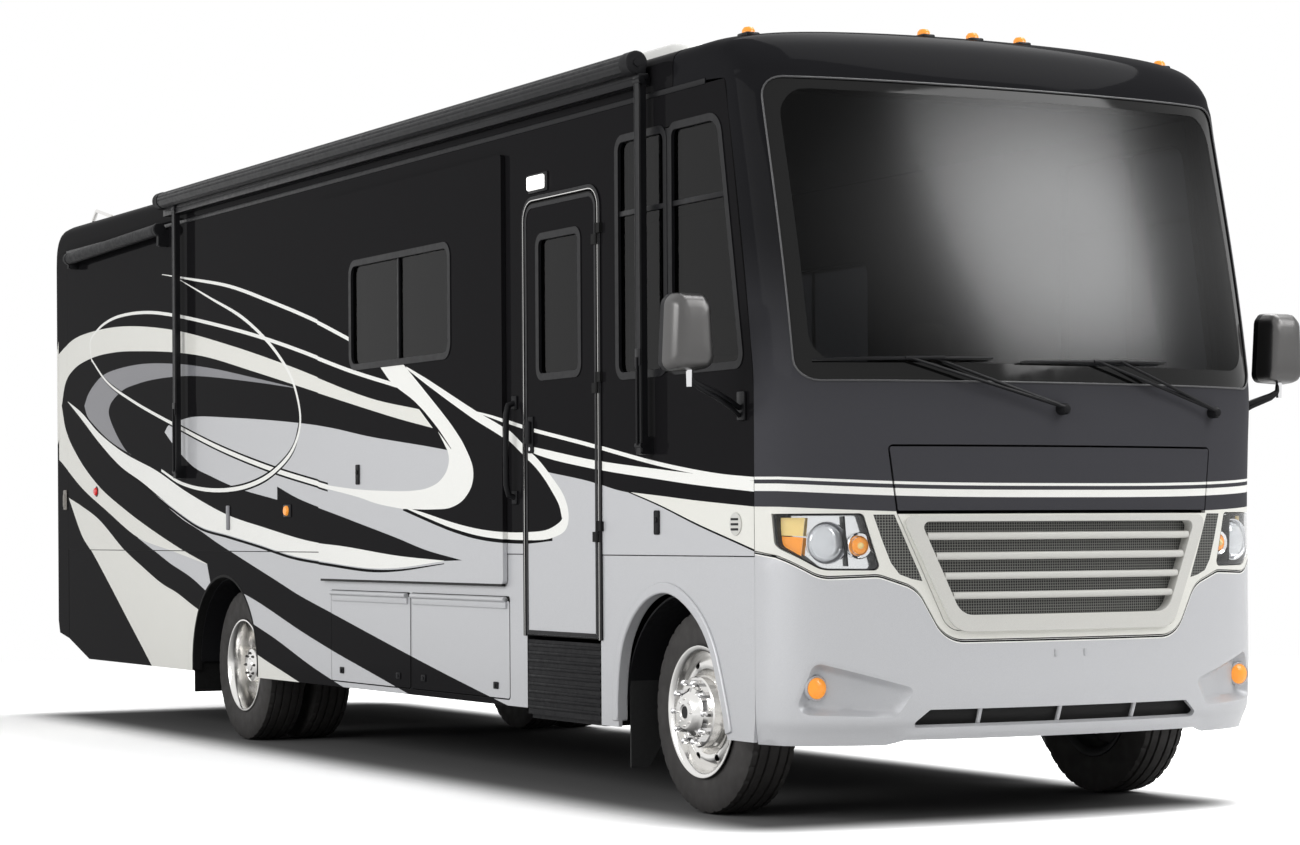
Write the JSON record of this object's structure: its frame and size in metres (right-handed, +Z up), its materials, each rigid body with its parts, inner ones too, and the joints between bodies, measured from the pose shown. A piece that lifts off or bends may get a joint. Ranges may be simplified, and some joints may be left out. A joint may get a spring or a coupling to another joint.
{
  "type": "motorhome",
  "caption": "Long box-bodied motorhome with a tall curved windshield, a slide-out room, awnings, underfloor bays and twin rear wheels.",
  "frame": {"origin": "on the ground under the middle of the bounding box", "axes": "+X forward, +Y to the vehicle's left, +Z up"},
  "size_m": [10.542, 3.4078, 3.795],
  "materials": {
    "paint_dark": "gloss",
    "paint_silver": "gloss",
    "paint_cream": "gloss",
    "glass_dark": "tinted",
    "lamp_clear": "clear",
    "chrome": "polished",
    "tyre": "matte",
    "steel_black": "satin",
    "cast_iron": "rough",
    "plastic_black": "matte",
    "roof_white": "satin",
    "trim_grey": "matte",
    "leather_tan": "satin",
    "aluminium": "polished"
  },
  "bodies": {
    "coach": {"chassis_frame": "steel_black", "engine": "cast_iron", "front_axle": "cast_iron", "rear_axle": "cast_iron", "floor": "trim_grey", "side_wall_right": "paint_dark", "side_wall_left": "paint_dark", "rear_cap": "paint_dark", "roof": "roof_white", "front_cap": "paint_dark", "windshield": "glass_dark", "front_bumper": "paint_silver", "grille": "paint_cream", "headlight_right": "lamp_clear", "headlight_left": "lamp_clear", "skirt_right_front": "paint_silver", "skirt_right_rear": "paint_silver", "skirt_left": "paint_silver", "storage_bays_right": "plastic_black", "storage_bays_left": "plastic_black", "stepwell": "plastic_black", "cab_window_right": "glass_dark", "cab_window_left": "glass_dark", "living_window_left": "glass_dark", "mirror_right": "chrome", "mirror_left": "chrome", "wiper_right": "plastic_black", "wiper_left": "plastic_black", "patio_awning": "paint_dark", "topper_awning": "plastic_black", "air_conditioner_front": "roof_white", "air_conditioner_rear": "roof_white", "ladder": "aluminium", "dashboard": "plastic_black", "driver_seat": "leather_tan", "passenger_seat": "leather_tan"},
    "entry_door": {"entry_door": "paint_dark", "entry_door_glass": "glass_dark"},
    "slideout": {"slideout_room": "paint_dark", "slideout_glass": "glass_dark"},
    "hood_door": {"hood_door": "paint_dark"},
    "baggage_door_right_front": {"baggage_door_right_front": "paint_silver"},
    "baggage_door_right_rear": {"baggage_door_right_rear": "paint_silver"},
    "baggage_door_left_front": {"baggage_door_left_front": "paint_silver"},
    "baggage_door_left_rear": {"baggage_door_left_rear": "paint_silver"},
    "knuckle_right": {"knuckle_right": "cast_iron"},
    "front_wheel_right": {"front_tyre_right": "tyre", "front_rim_right": "aluminium"},
    "rear_wheels_right": {"rear_tyre_right_outer": "tyre", "rear_tyre_right_inner": "tyre", "rear_rim_right": "aluminium"},
    "knuckle_left": {"knuckle_left": "cast_iron"},
    "front_wheel_left": {"front_tyre_left": "tyre", "front_rim_left": "aluminium"},
    "rear_wheels_left": {"rear_tyre_left_outer": "tyre", "rear_tyre_left_inner": "tyre", "rear_rim_left": "aluminium"}
  },
  "joints": [
    {"name": "steer_right", "type": "hinge", "parent": "coach", "child": "knuckle_right", "pos_m": [4.10925, -0.9, 0.46], "axis": [0, 0, 1], "range_deg": [-32, 32]},
    {"name": "front_wheel_spin_right", "type": "hinge", "parent": "knuckle_right", "child": "front_wheel_right", "pos_m": [4.10925, -1.065, 0.46], "axis": [0, 1, 0], "continuous": true},
    {"name": "rear_wheels_spin_right", "type": "hinge", "parent": "coach", "child": "rear_wheels_right", "pos_m": [-1.68075, -0.92, 0.46], "axis": [0, 1, 0], "continuous": true},
    {"name": "steer_left", "type": "hinge", "parent": "coach", "child": "knuckle_left", "pos_m": [4.10925, 0.9, 0.46], "axis": [0, 0, 1], "range_deg": [-32, 32]},
    {"name": "front_wheel_spin_left", "type": "hinge", "parent": "knuckle_left", "child": "front_wheel_left", "pos_m": [4.10925, 1.065, 0.46], "axis": [0, 1, 0], "continuous": true},
    {"name": "rear_wheels_spin_left", "type": "hinge", "parent": "coach", "child": "rear_wheels_left", "pos_m": [-1.68075, 0.92, 0.46], "axis": [0, 1, 0], "continuous": true},
    {"name": "entry_door_hinge", "type": "hinge", "parent": "coach", "child": "entry_door", "pos_m": [3.31925, -1.303, 1.8], "axis": [0, 0, 1], "range_deg": [0, 100]},
    {"name": "slideout_slide", "type": "slide", "parent": "coach", "child": "slideout", "axis": [0, -1, 0], "range_m": [0, 0.55]},
    {"name": "hood_hinge", "type": "hinge", "parent": "coach", "child": "hood_door", "pos_m": [5.24725, 0, 1.64], "axis": [0, -1, 0], "range_deg": [0, 75]},
    {"name": "baggage_door_right_rear_hinge", "type": "hinge", "parent": "coach", "child": "baggage_door_right_rear", "pos_m": [0.54525, -1.301, 0.933], "axis": [-1, 0, 0], "range_deg": [0, 85]},
    {"name": "baggage_door_right_front_hinge", "type": "hinge", "parent": "coach", "child": "baggage_door_right_front", "pos_m": [1.72125, -1.301, 0.933], "axis": [-1, 0, 0], "range_deg": [0, 85]},
    {"name": "baggage_door_left_rear_hinge", "type": "hinge", "parent": "coach", "child": "baggage_door_left_rear", "pos_m": [0.54525, 1.301, 0.933], "axis": [1, 0, 0], "range_deg": [0, 85]},
    {"name": "baggage_door_left_front_hinge", "type": "hinge", "parent": "coach", "child": "baggage_door_left_front", "pos_m": [1.72125, 1.301, 0.933], "axis": [1, 0, 0], "range_deg": [0, 85]}
  ],
  "couplings": [
    {"joint": "steer_left", "follows": "steer_right", "ratio": 1}
  ]
}
